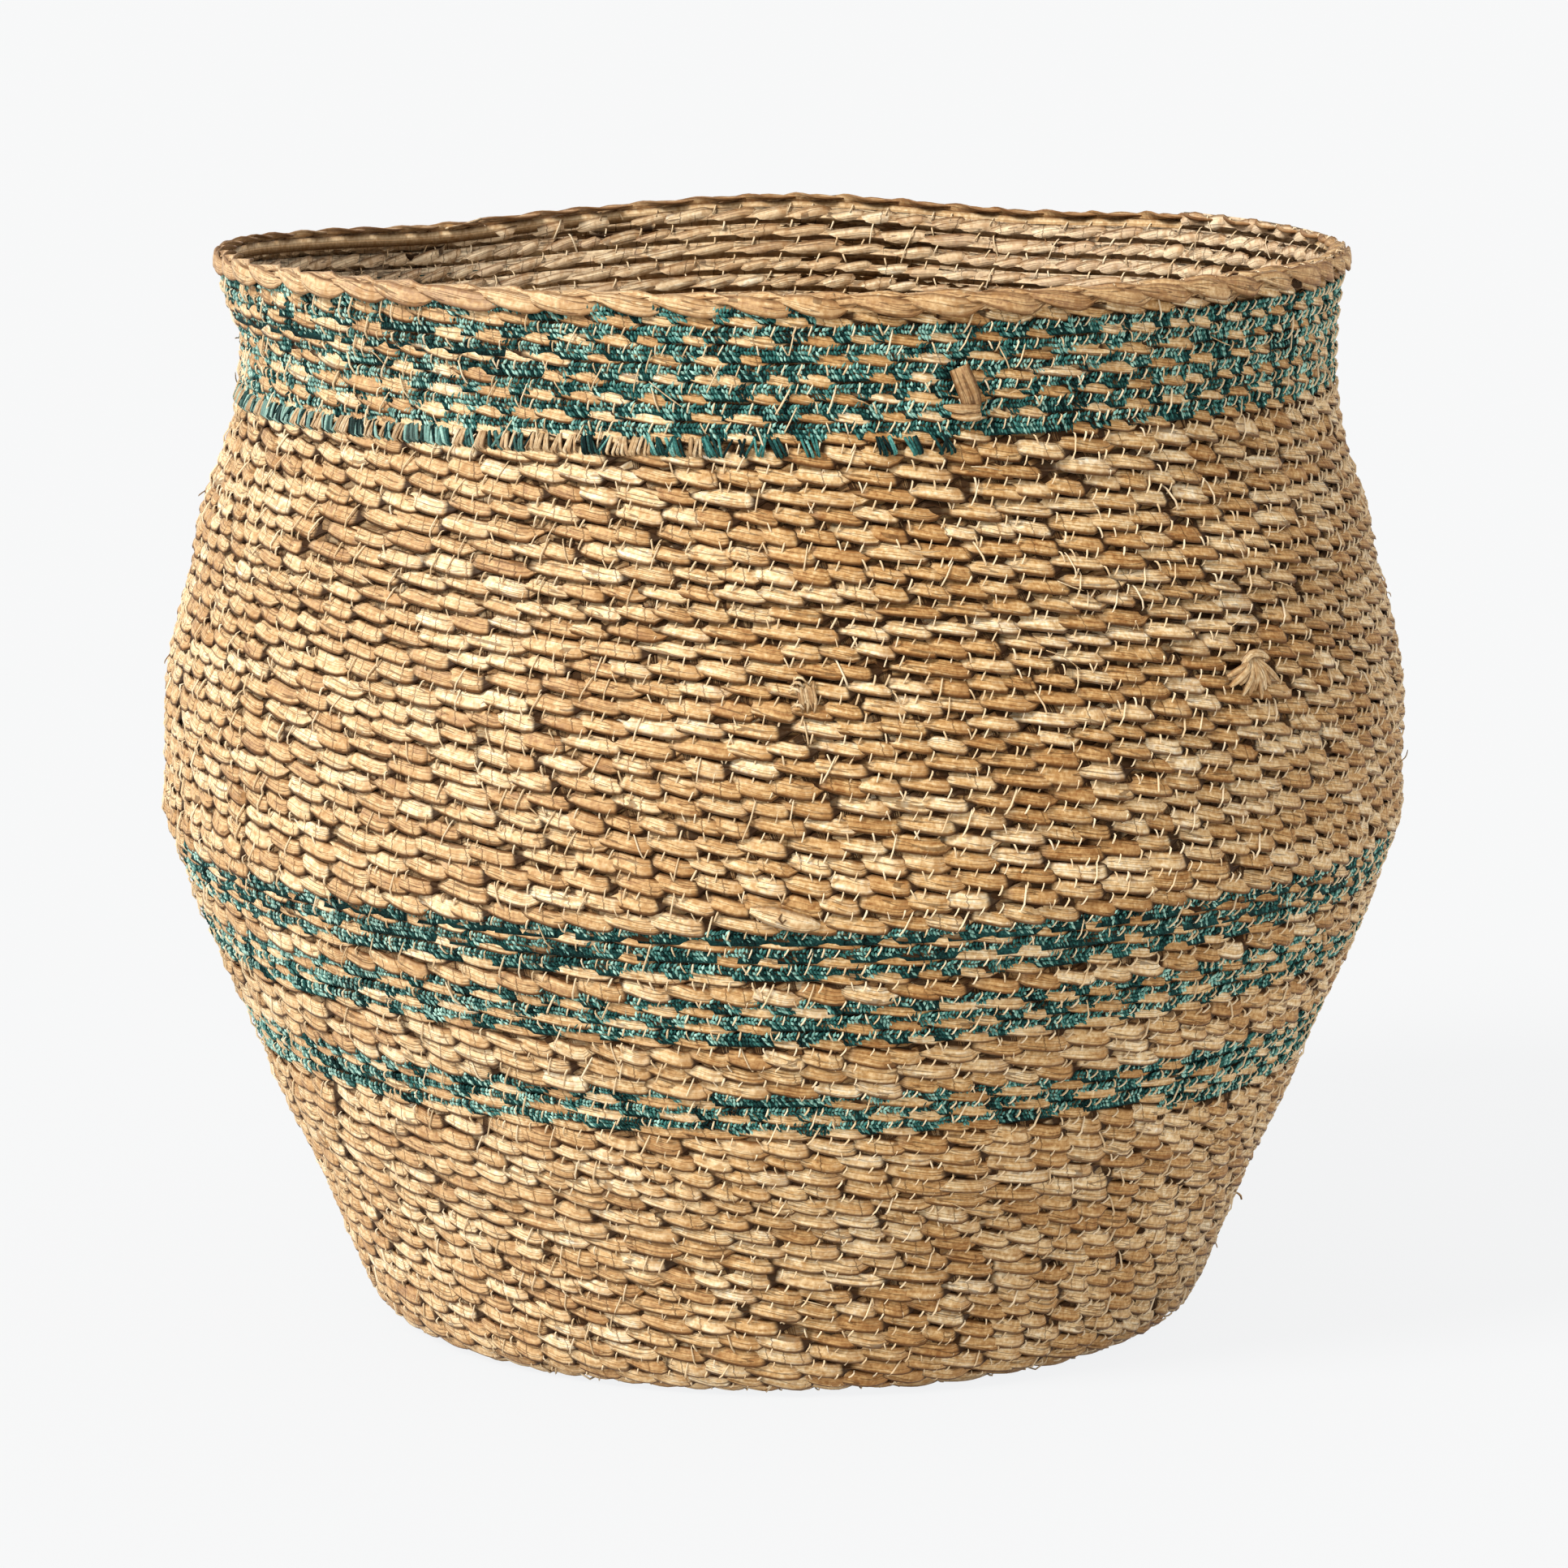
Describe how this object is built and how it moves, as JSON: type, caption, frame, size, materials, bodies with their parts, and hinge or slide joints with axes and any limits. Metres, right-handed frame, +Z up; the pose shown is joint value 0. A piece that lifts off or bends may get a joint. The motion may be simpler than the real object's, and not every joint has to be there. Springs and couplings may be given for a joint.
{
  "type": "belly basket",
  "caption": "Round open basket of coiled seagrass plait with a full belly, a drawn-in neck, teal bands and a plaited rim.",
  "frame": {"origin": "middle of the base, on the surface that the basket stands on", "axes": "+Z up through the mouth; -Y towards the viewer of the picture, +X to that viewer's right"},
  "size_m": [0.38, 0.38, 0.3295],
  "materials": {
    "seagrass": "natural dry seagrass plait, slightly glossy strands",
    "teal_plait": "seagrass plaited with matt teal yarn",
    "strand_end": "loose ends of seagrass strands"
  },
  "bodies": {
    "root": {"base_start_button": "seagrass", "base_coil": "seagrass", "heel_coil": "seagrass", "lower_wall_coil": "seagrass", "lower_teal_band": "teal_plait", "lower_spacer_coil": "seagrass", "middle_teal_band": "teal_plait", "upper_spacer_coil": "seagrass", "upper_teal_band": "teal_plait", "belly_coil_lower": "seagrass", "belly_coil_upper": "seagrass", "tufted_course": "seagrass", "neck_teal_band": "teal_plait", "rim_plait": "seagrass", "splice_fan": "strand_end", "splice_knot": "strand_end", "neck_strand_end": "strand_end", "rim_strand_end": "strand_end"}
  },
  "joints": []
}
